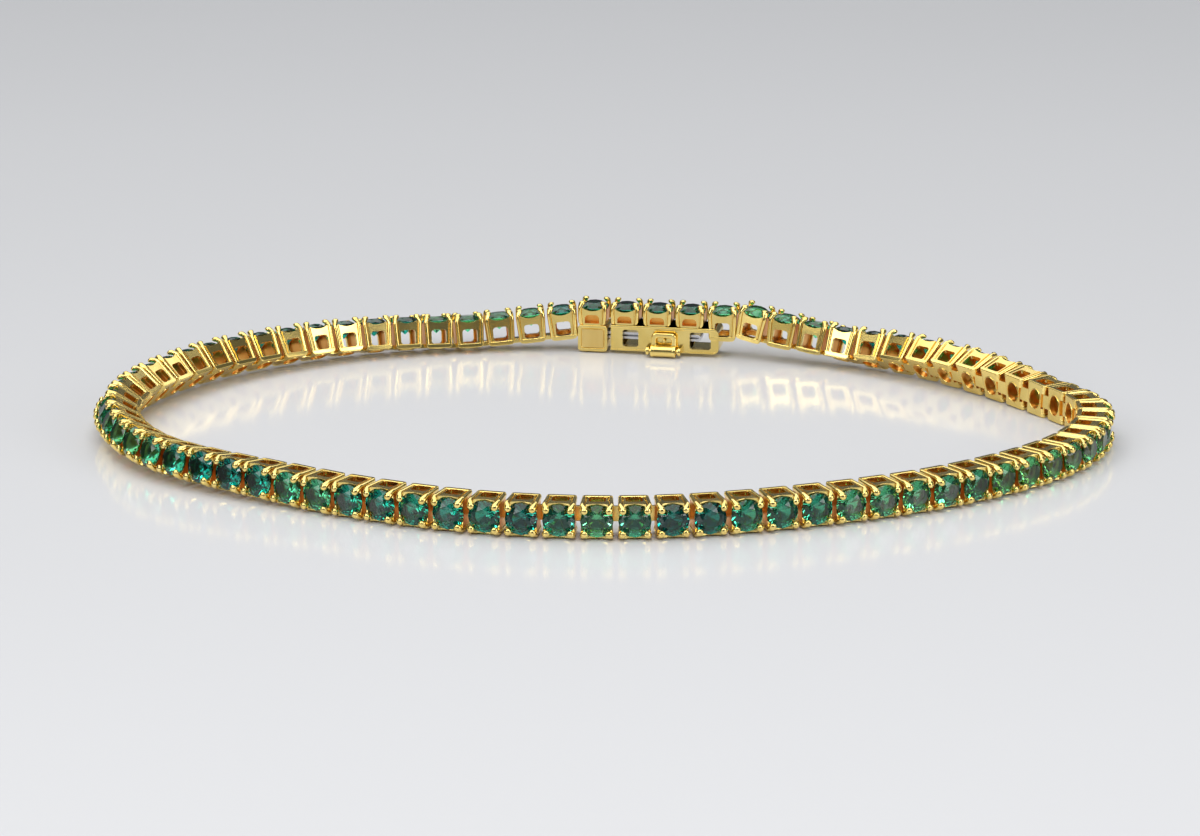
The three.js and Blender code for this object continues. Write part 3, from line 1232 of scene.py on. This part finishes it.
    def posts(self, base: float) -> list[bpy.types.Object]:
        """The four corner posts, which end in claws bent over the stone.

        Args:
            base: The height that they start at.

        Returns:
            The posts.
        """
        half_x, half_y = self.post_half, self.post_depth
        stations = []
        for foot in self.foot:
            inset_x, inset_y = foot.inset_x * half_x, foot.inset_y * half_y
            height = base + foot.height * self.foot_radius
            stations.append(ClawStation(height, inset_x, inset_y, foot.half_x * half_x, foot.half_y * half_y))
        stations += [ClawStation(self.splay_height, half_x, half_y, half_x, half_y), *self.claw]
        posts = []
        for side_x in (-1, 1):
            for side_y in (-1, 1):
                rings = []
                for station in stations:
                    x = side_x * (self.half_at(station.height) - station.inset_x)
                    y = side_y * (self.half_width - station.inset_y)
                    rings.append(Ring((x, y, station.height), station.half_x, station.half_y))
                posts.append(sweep(rings, self.post_sides))
        return posts

    def paint_recess_shade(self, block: bpy.types.Object, base: float) -> bpy.types.Object:
        """Gives a cut block its two golds: polished outside, and a darker, more orange gold painted into its
        room and hinge ends as painted shade.

        Args:
            block: The cut block.
            base: The height that it starts at.

        Returns:
            The same object.
        """
        dress(block, Metal.POLISHED_GOLD, Metal.PAINTED_SHADE_GOLD)

        def inner(middle: Vector, normal: Vector) -> bool:
            """Says whether a face lies in the room, or on an end that faces the next setting, where shade is
            painted.
            """
            hidden = abs(middle.x) < self.inner_half and base + self.skin < middle.z < self.seat_height
            return abs(middle.y) < self.deep - self.skin and (hidden or abs(normal.x) > FACING)

        mark_faces(block, inner)
        # The picked faces get the painted shade gold
        block.active_material_index = 1
        bpy.ops.object.material_slot_assign()
        finish_edit()
        return block

    def link(self, low_end: LinkEnd, high_end: LinkEnd) -> bpy.types.Object:
        """A setting of the row, with windows, an oval base hole and its hinge ends.

        Args:
            low_end: What its end towards the tongue has.
            high_end: What its other end has.

        Returns:
            The setting.
        """
        block = self.frame(0)
        cutters = [self.window(), self.room(), self.base_hole(), self.seat(), *self.scallops()]
        extras = []
        for side, end in ((-1, low_end), (1, high_end)):
            if end is LinkEnd.NOTCH:
                cutters.append(self.notch(side))
                extras.append(self.pin(side))
            elif end is LinkEnd.TAB:
                extras.append(self.tab(self.half_base - self.tab_root, self.half_base + self.tab_reach))
        self.paint_recess_shade(soften(cut(block, *cutters), self.edge), 0)
        bright = join([self.base_rim(), *self.rails(), *self.posts(0), *extras], "bright_parts")
        return join([block, dress(bright, Metal.POLISHED_GOLD)], "setting_master")

    def short(self, base: float) -> bpy.types.Object:
        """A setting without its lower part, as it stands on the clasp.

        Args:
            base: The height that it is cut off at.

        Returns:
            The setting.
        """
        block = self.frame(base)
        half, low, high = self.niche_half, base + self.niche_rise, self.window_top + self.niche_rise
        niche = add_box((-half, -THROUGH, low), (half, THROUGH, high))
        upper_edges = runs_along(1, lambda end: end.z > low + NEAR)
        round_edges(niche, upper_edges, self.niche_corner, segments=5)
        self.paint_recess_shade(soften(cut(block, niche, self.seat(), *self.scallops()), self.edge), base)
        # A block in the painted shade gold fills the niches, where there would only be shade
        x, y = self.shade_core_half
        core = cut(add_box((-x, -y, base + self.shade_core_rise), (x, y, self.shade_core_top)), self.seat())
        bright = join(self.posts(base), "bright_parts")
        parts = [block, dress(core, Metal.PAINTED_SHADE_GOLD), dress(bright, Metal.POLISHED_GOLD)]
        return join(parts, "short_setting_master")


@dataclass
class Row:
    """The hinged row of settings, in two halves, and its stones."""

    route: Route
    setting: Setting
    stone: Stone

    def build(self, to_frame: Matrix) -> None:
        """Makes both halves of the row and puts them in place.

        Args:
            to_frame: From the route's millimetres to the frame's metres.
        """
        link = self.setting.link(LinkEnd.NOTCH, LinkEnd.TAB)
        last = self.setting.link(LinkEnd.NOTCH, LinkEnd.NOTCH)
        gem = self.stone.build()
        split, count = self.route.left_count, self.route.count
        for side, numbers in (("left", range(split)), ("right", range(split, count))):
            places = [to_frame @ self.route.place_at((i + 0.5) * self.route.pitch) for i in numbers]
            masters = [last if i == count - 1 else link for i in numbers]
            settings = join([copy_at(m, p) for m, p in zip(masters, places)], f"settings_{side}")
            stones = join([copy_at(gem, p) for p in places], f"stones_{side}")
            install(settings, f"chain_{side}")
            install(stones, f"chain_{side}")
        discard(link, last, gem)


# The clasp


@dataclass
class Clasp:
    """The clasp's layout: a tongue's block, a seam, the box, and five stones on top."""

    length: float = Route.clasp_length
    setting_height: float = Setting.height
    stones: int = 5
    block_gap: float = 0.16
    block_length: float = 2.25
    seam: float = 0.26
    box_length: float = 8.2
    half_width: float = 1.2
    box_rise: float = 0.22
    box_height: float = 1.95
    block_rise: float = 0.06
    block_drop: float = 0.11
    short_setting: float = 1.68
    solder: float = 0.05
    tab_root: float = 0.2
    wall: float = 0.35
    end_wall: float = 0.45

    @property
    def block_low(self) -> float:
        """The tongue's block's end towards the row."""
        return -self.length / 2 + self.block_gap

    @property
    def block_high(self) -> float:
        """The tongue's block's end towards the box."""
        return self.block_low + self.block_length

    @property
    def box_low(self) -> float:
        """The box's end towards the tongue."""
        return self.block_high + self.seam

    @property
    def box_high(self) -> float:
        """The box's far end."""
        return self.box_low + self.box_length

    @property
    def box_middle(self) -> float:
        """The middle of the box's length."""
        return (self.box_low + self.box_high) / 2

    @property
    def box_top(self) -> float:
        """The height of the box's top."""
        return self.box_rise + self.box_height

    @property
    def block_top(self) -> float:
        """The height of the tongue's block's top."""
        return self.box_top - self.block_drop

    @property
    def tip_height(self) -> float:
        """The height of the claws' tips."""
        return self.box_top + self.short_setting

    def stone_place(self, number: int) -> float:
        """Where a stone of the clasp lies along it.

        Args:
            number: 0 for the tongue's stone, and up along the box.

        Returns:
            The place along X.
        """
        return -self.length / 2 + (number + 0.5) * self.length / self.stones

    def setting_place(self, number: int) -> Matrix:
        """The place of a setting on the clasp, whose claws all end at one height."""
        return Matrix.Translation((self.stone_place(number), 0, self.tip_height - self.setting_height))


@dataclass
class ClaspTongue:
    """The tongue's block: a framed satin panel on each side, and a short setting on top."""

    clasp: Clasp
    setting: Setting
    rim: float = 0.24
    rim_depth: float = 0.1
    groove: float = 0.07
    slot_half: float = 0.77
    slot_rise: float = 0.37
    slot_middle: float = 1.28
    slot_depth: float = 0.5
    panel_drop: float = 0.03
    panel_depth: float = 0.3
    panel_edge: float = 0.03
    corner: float = 0.26
    tile_corner: float = 0.12
    edge: float = 0.06

    def tile(self, border: float, y_a: float, y_b: float) -> bpy.types.Object:
        """A rounded tile on the block's side.

        Args:
            border: How far it stays from the block's edges.
            y_a: One of its two faces.
            y_b: Its other face.

        Returns:
            The tile.
        """
        clasp = self.clasp
        low = (clasp.block_low + border, min(y_a, y_b), clasp.block_rise + border)
        high = (clasp.block_high - border, max(y_a, y_b), clasp.block_top - border)
        return round_edges(add_box(low, high), runs_along(1), self.tile_corner)

    def build(self, to_frame: Matrix, hinge_place: Matrix, reach: float) -> bpy.types.Object:
        """Makes the tongue.

        Args:
            to_frame: From the clasp's millimetres to the frame's metres.
            hinge_place: The place of the end hinge, in the clasp's millimetres.
            reach: How far the hinge tab reaches into the next setting.

        Returns:
            The piece.
        """
        clasp = self.clasp
        low = (clasp.block_low, -clasp.half_width, clasp.block_rise)
        high = (clasp.block_high, clasp.half_width, clasp.block_top)
        block = add_box(low, high)
        round_edges(block, runs_along(1), self.corner, segments=6)
        recesses, panels = [], []
        for side in (-1, 1):
            face = side * clasp.half_width
            recesses.append(self.tile(self.rim, face + side * OVERRUN, face - side * self.rim_depth))
            front, back = face - side * self.panel_drop, face - side * self.panel_depth
            panels.append(self.tile(self.rim + self.groove, front, back))
        slot = add_box(
            (clasp.block_high - self.slot_depth, -self.slot_half, self.slot_middle - self.slot_rise),
            (clasp.block_high + OVERRUN, self.slot_half, self.slot_middle + self.slot_rise),
        )
        soften(cut(block, slot, *recesses), self.edge, segments=3)
        dress(block, Metal.POLISHED_GOLD)
        for panel in panels:
            dress(soften(panel, self.panel_edge), Metal.SATIN_GOLD)
        base = clasp.setting_height - (clasp.tip_height - clasp.block_top) - clasp.solder
        short = self.setting.short(base)
        short.data.transform(clasp.setting_place(0))
        tab = dress(self.setting.tab(-clasp.block_gap - clasp.tab_root, reach), Metal.POLISHED_GOLD)
        tab.data.transform(hinge_place)
        piece = join([block, short, tab, *panels], "tongue")
        piece.data.transform(to_frame)
        return piece


@dataclass
class ClaspBox:
    """The clasp's box: hollow, with two windows a side, a lip, four settings and the latch's holder."""

    clasp: Clasp
    setting: Setting
    end_radius: float = 0.45
    lip_height: float = 0.2
    lip_proud: float = 0.06
    tongue_window: tuple[float, float] = (0.9, 1.2)
    far_window: tuple[float, float] = (0.6, 1.6)
    window_radius: float = 0.2
    window_margin: float = 0.02
    rim: float = 0.12
    recess: float = 0.03
    edge: float = 0.04
    lip_end_share: float = 0.6
    lip_sheet: float = 0.1
    lip_edge: float = 0.06
    lip_opening: tuple[float, float] = (1.0, 0.8)

    def shell(self) -> bpy.types.Object:
        """The hollow box with its windows and its recessed sides.

        Returns:
            The box.
        """
        clasp = self.clasp
        half = clasp.half_width
        box = add_box((clasp.box_low, -half, clasp.box_rise), (clasp.box_high, half, clasp.box_top))
        far_edges = runs_along(1, lambda end: end.x > clasp.box_middle)
        round_edges(box, far_edges, self.end_radius, segments=7)
        for side in (-1, 1):
            mark_faces(box, looks_along(1, side))
            bpy.ops.mesh.inset(thickness=self.rim)
            bpy.ops.mesh.extrude_region_move(TRANSFORM_OT_translate={"value": (0, -side * self.recess, 0)})
            finish_edit()
        wall_half = half - clasp.wall
        cavity = add_box(
            (clasp.box_low - OVERRUN, -wall_half, clasp.box_rise + clasp.wall),
            (clasp.box_high - clasp.end_wall, wall_half, clasp.box_top - clasp.wall),
        )
        start, length = self.tongue_window
        near = self.window(clasp.box_low + start, length)
        start, length = self.far_window
        far = self.window(clasp.box_high - start - length, length)
        return soften(cut(box, cavity, near, far), self.edge)

    def window(self, low: float, length: float) -> bpy.types.Object:
        """The cutter for a window through both sides.

        Args:
            low: Where the window starts along the box.
            length: How long it is.

        Returns:
            A rounded box.
        """
        border = self.clasp.wall - self.window_margin
        bottom, top = self.clasp.box_rise + border, self.clasp.box_top - border
        tunnel = add_box((low, -THROUGH, bottom), (low + length, THROUGH, top))
        return round_edges(tunnel, runs_along(1), self.window_radius)

    def lip(self) -> bpy.types.Object:
        """The thin lip round the top of the box.

        Returns:
            The lip.
        """
        clasp = self.clasp
        half = clasp.half_width + self.lip_proud
        lip = add_box(
            (clasp.box_low, -half, clasp.box_top - self.lip_height),
            (clasp.box_high - self.end_radius * self.lip_end_share, half, clasp.box_top),
        )
        end_gap, opening_half = self.lip_opening
        opening = add_box(
            (clasp.box_low - OVERRUN, -opening_half, 0),
            (clasp.box_high - end_gap, opening_half, clasp.box_top - self.lip_sheet),
        )
        return soften(cut(lip, opening), self.lip_edge, segments=3)

    def build(
        self, to_frame: Matrix, hinge_place: Matrix, reach: float, holder: list[bpy.types.Object]
    ) -> bpy.types.Object:
        """Makes the box.

        Args:
            to_frame: From the clasp's millimetres to the frame's metres.
            hinge_place: The place of the end hinge, in the clasp's millimetres.
            reach: How far the hinge tab reaches into the last setting of the row.
            holder: The latch's ears, pin and stud, which are soldered to the box.

        Returns:
            The piece.
        """
        clasp = self.clasp
        base = clasp.setting_height - clasp.short_setting - clasp.solder
        short = self.setting.short(base)
        tops = [copy_at(short, clasp.setting_place(number)) for number in range(1, clasp.stones - 1)]
        discard(short)
        full = self.setting.link(LinkEnd.PLAIN, LinkEnd.PLAIN)
        full.data.transform(clasp.setting_place(clasp.stones - 1))
        end_gap = clasp.length / 2 - clasp.stone_place(clasp.stones - 1) - self.setting.half_base
        tab = self.setting.tab(-reach, end_gap + clasp.tab_root)
        tab.data.transform(hinge_place)
        bright = join([self.shell(), self.lip(), tab, *holder], "box")
        dress(bright, Metal.POLISHED_GOLD)
        piece = join([bright, *tops, full], "box")
        piece.data.transform(to_frame)
        return piece


@dataclass
class SafetyLatch:
    """The latch on the box's inner side: a loop on a barrel, held by two ears, snapped over a stud."""

    clasp: Clasp
    width: float = 1.9
    barrel_radius: float = 0.42
    bore_radius: float = 0.24
    pin_radius: float = 0.16
    floor_gap: float = 0.02
    face_gap: float = 0.12
    lip_gap: float = 0.37
    lip_proud: float = 0.06
    loop_thickness: float = 0.34
    loop_bar: float = 0.37
    loop_radius: float = 0.36
    loop_edge: float = 0.12
    hole_corner: float = 0.18
    rim_width: float = 0.24
    rim_proud: float = 0.03
    ear_thickness: float = 0.25
    ear_radius: float = 0.3
    ear_gap: float = 0.12
    ear_sunk: float = 0.17
    edge: float = 0.05
    stud_radius: float = 0.13
    stud_reach: float = 0.3
    stud_root: float = 0.3
    stud_edge: float = 0.06
    rod_sides: int = 28

    @property
    def axis(self) -> Vector:
        """A point of the hinge's axis, in the clasp's millimetres."""
        y = -self.clasp.half_width - self.face_gap - self.barrel_radius
        return Vector((self.clasp.box_middle, y, self.floor_gap + self.barrel_radius))

    @property
    def loop_top(self) -> float:
        """The height of the loop's top."""
        return self.clasp.box_top - self.lip_gap

    def build(self, to_frame: Matrix) -> bpy.types.Object:
        """Makes the moving latch.

        Args:
            to_frame: From the clasp's millimetres to the frame's metres.

        Returns:
            The piece.
        """
        axis, half = self.axis, self.width / 2
        back = -self.clasp.half_width - self.lip_proud - self.face_gap
        front = back - self.loop_thickness
        loop = add_box((axis.x - half, front, axis.z), (axis.x + half, back, self.loop_top))
        upper_edges = runs_along(1, lambda end: end.z > axis.z + NEAR)
        round_edges(loop, upper_edges, self.loop_radius, segments=5)
        hole_half = half - self.loop_bar
        hole = add_box(
            (axis.x - hole_half, front - OVERRUN, axis.z + self.barrel_radius),
            (axis.x + hole_half, back + OVERRUN, self.loop_top - self.loop_bar),
        )
        round_edges(hole, runs_along(1), self.hole_corner)
        soften(cut(loop, hole), self.loop_edge, segments=4)
        rim_half = self.rim_width / 2
        rim_radius = self.barrel_radius + self.rim_proud
        rods = [self.rod(half, self.barrel_radius)]
        rods += [self.rod(rim_half, rim_radius, side * (half - rim_half)) for side in (-1, 1)]
        shells = []
        for rod in rods:
            shells.append(soften(cut(rod, self.rod(half + OVERRUN, self.bore_radius)), self.edge))
        piece = join([loop, *shells], "catch")
        dress(piece, Metal.POLISHED_GOLD)
        piece.data.transform(to_frame)
        return piece

    def rod(self, half: float, radius: float, along: float = 0.0) -> bpy.types.Object:
        """A rod on the hinge's axis, of a half length and radius, moved along it."""
        x, y, z = self.axis
        return add_rod((x + along - half, y, z), (x + along + half, y, z), radius, self.rod_sides)

    def holder(self) -> list[bpy.types.Object]:
        """The ears, pin and stud, which belong to the box.

        Returns:
            The pieces, in the clasp's millimetres.
        """
        face, axis, half = -self.clasp.half_width, self.axis, self.ear_thickness / 2
        middle = self.width / 2 + self.ear_gap + half
        parts = [smooth(self.rod(middle + half, self.pin_radius))]
        for side in (-1, 1):
            parts.append(soften(self.rod(half, self.ear_radius, side * middle), self.edge))
            x = axis.x + side * middle
            low = (x - half, axis.y, axis.z - self.pin_radius)
            high = (x + half, face + self.ear_sunk, axis.z + self.ear_radius)
            parts.append(soften(add_box(low, high), self.edge))
        height = (axis.z + self.barrel_radius + self.loop_top - self.loop_bar) / 2
        root, tip = (axis.x, face + self.stud_root, height), (axis.x, face - self.stud_reach, height)
        parts.append(soften(add_rod(root, tip, self.stud_radius), self.stud_edge, segments=3))
        return parts


@dataclass
class ClaspStones:
    """The five stones on the clasp."""

    clasp: Clasp
    stone: Stone

    def build(self, to_frame: Matrix) -> None:
        """Makes the stones, each a piece of its own, and puts them in place.

        Args:
            to_frame: From the clasp's millimetres to the frame's metres.
        """
        master = self.stone.build()
        for number in range(self.clasp.stones):
            piece = copy_at(master, to_frame @ self.clasp.setting_place(number))
            piece.name = f"gem_{number + 1}"
            install(piece, f"clasp_stone_{number + 1}")
        discard(master)


# Studio


@dataclass(frozen=True)
class SoftLight:
    """A soft rectangular light that points at the bracelet."""

    name: str
    place: Point
    size: tuple[float, float]
    power: float

    def build(self, target: Vector) -> None:
        """Adds the light.

        Args:
            target: The point that it faces.
        """
        data = bpy.data.lights.new(self.name, "AREA")
        data.shape = "RECTANGLE"
        data.size, data.size_y = self.size
        data.energy = self.power
        lamp = bpy.data.objects.new(self.name, data)
        lamp.location = self.place
        lamp.rotation_euler = (target - Vector(self.place)).to_track_quat("-Z", "Y").to_euler()
        bpy.context.scene.collection.objects.link(lamp)


@dataclass
class Studio:
    """The floor, the lights and the camera. The camera's place is in the route's millimetres."""

    floor_size: float = 6.0
    camera_place: Point = (0.0, -289.0, 80.46)
    camera_pitch: float = 15.32
    focal_pixels: float = 4289.0
    image_width: float = 1200.0
    sensor: float = 36.0
    world_colour: Colour = (0.75, 0.82, 0.92, 1.0)
    world_strength: float = 0.13
    clip: tuple[float, float] = (0.01, 20.0)
    lights: tuple[SoftLight, ...] = (
        SoftLight("overhead", (-0.05, 0.0, 0.55), (0.9, 0.7), 3.6),
        SoftLight("front_left", (-0.4, -0.35, 0.3), (0.3, 0.3), 1.0),
        SoftLight("front_right", (0.45, -0.3, 0.22), (0.25, 0.3), 0.9),
        SoftLight("front_high", (0.05, -0.55, 0.5), (0.25, 0.12), 0.9),
        SoftLight("back_strip", (0.0, 0.6, 0.5), (1.4, 0.25), 1.6),
    )

    def build(self, to_frame: Matrix) -> None:
        """Adds everything that isn't part of the bracelet.

        Args:
            to_frame: From the route's millimetres to the frame's metres.
        """
        deselect_all()
        bpy.ops.mesh.primitive_plane_add(size=self.floor_size)
        floor = bpy.context.active_object
        floor.name = "floor"
        dress(floor, FloorFinish())
        floor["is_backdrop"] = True
        for light in self.lights:
            light.build(Vector())
        world = bpy.data.worlds.new("studio")
        world.use_nodes = True
        backdrop = world.node_tree.nodes["Background"]
        backdrop.inputs["Color"].default_value = self.world_colour
        backdrop.inputs["Strength"].default_value = self.world_strength
        bpy.context.scene.world = world
        bpy.context.scene.view_settings.view_transform = "Standard"
        data = bpy.data.cameras.new("photo_view")
        data.sensor_width = self.sensor
        data.lens = self.focal_pixels / self.image_width * self.sensor
        data.clip_start, data.clip_end = self.clip
        camera = bpy.data.objects.new("photo_view", data)
        camera.location = to_frame @ Vector(self.camera_place)
        camera.rotation_euler = (math.radians(90 - self.camera_pitch), 0, 0)
        bpy.context.scene.collection.objects.link(camera)
        bpy.context.scene.camera = camera


def frame_shift(frame: dict, route: Route, latch: SafetyLatch) -> Matrix:
    """The change from the route's millimetres to the frame's metres, read from the latch's hinge.

    Args:
        route: The row's route.
        latch: The safety latch, whose axis is known in both.

    Returns:
        The change as a matrix.
    """
    hinge = next(joint for joint in frame["joints"] if joint["name"] == LATCH_JOINT)
    made = route.clasp_place() @ latch.axis
    return Matrix.Translation(Vector(hinge["pos_m"]) - made * MM) @ Matrix.Scale(MM, 4)


def corners(box: tuple[Vector, Vector]) -> list[list[float]]:
    """A box's two corners as plain lists."""
    return [list(corner) for corner in box]


def main() -> None:
    """Builds every piece round the frame and reports it."""
    logging.basicConfig(level=logging.INFO, format="%(name)s: %(message)s")
    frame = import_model()
    cad_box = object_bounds()
    route, setting, stone, clasp = Route(), Setting(), Stone(), Clasp()
    latch = SafetyLatch(clasp)
    to_frame = frame_shift(frame, route, latch)
    clasp_to_frame = to_frame @ route.clasp_place()
    into_clasp = route.clasp_place().inverted()
    tongue_hinge, box_hinge = (into_clasp @ route.place_at(s) for s in (0, route.chain_length))
    tab_reach = (route.pitch - 2 * setting.half_base) / 2 + setting.tab_bite

    Row(route, setting, stone).build(to_frame)
    tongue = ClaspTongue(clasp, setting).build(clasp_to_frame, tongue_hinge, tab_reach)
    install(tongue, "clasp_tongue")
    box = ClaspBox(clasp, setting).build(clasp_to_frame, box_hinge, tab_reach, latch.holder())
    install(box, "clasp_box")
    install(latch.build(clasp_to_frame), "safety_latch", LATCH_BODY)
    ClaspStones(clasp, stone).build(clasp_to_frame)
    dress(frame["nodes"]["tongue_spring"], Metal.WHITE_METAL)

    Studio().build(to_frame)
    {"cad": corners(cad_box), "visual": corners(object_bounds())}


if __name__ == "__main__":
    main()
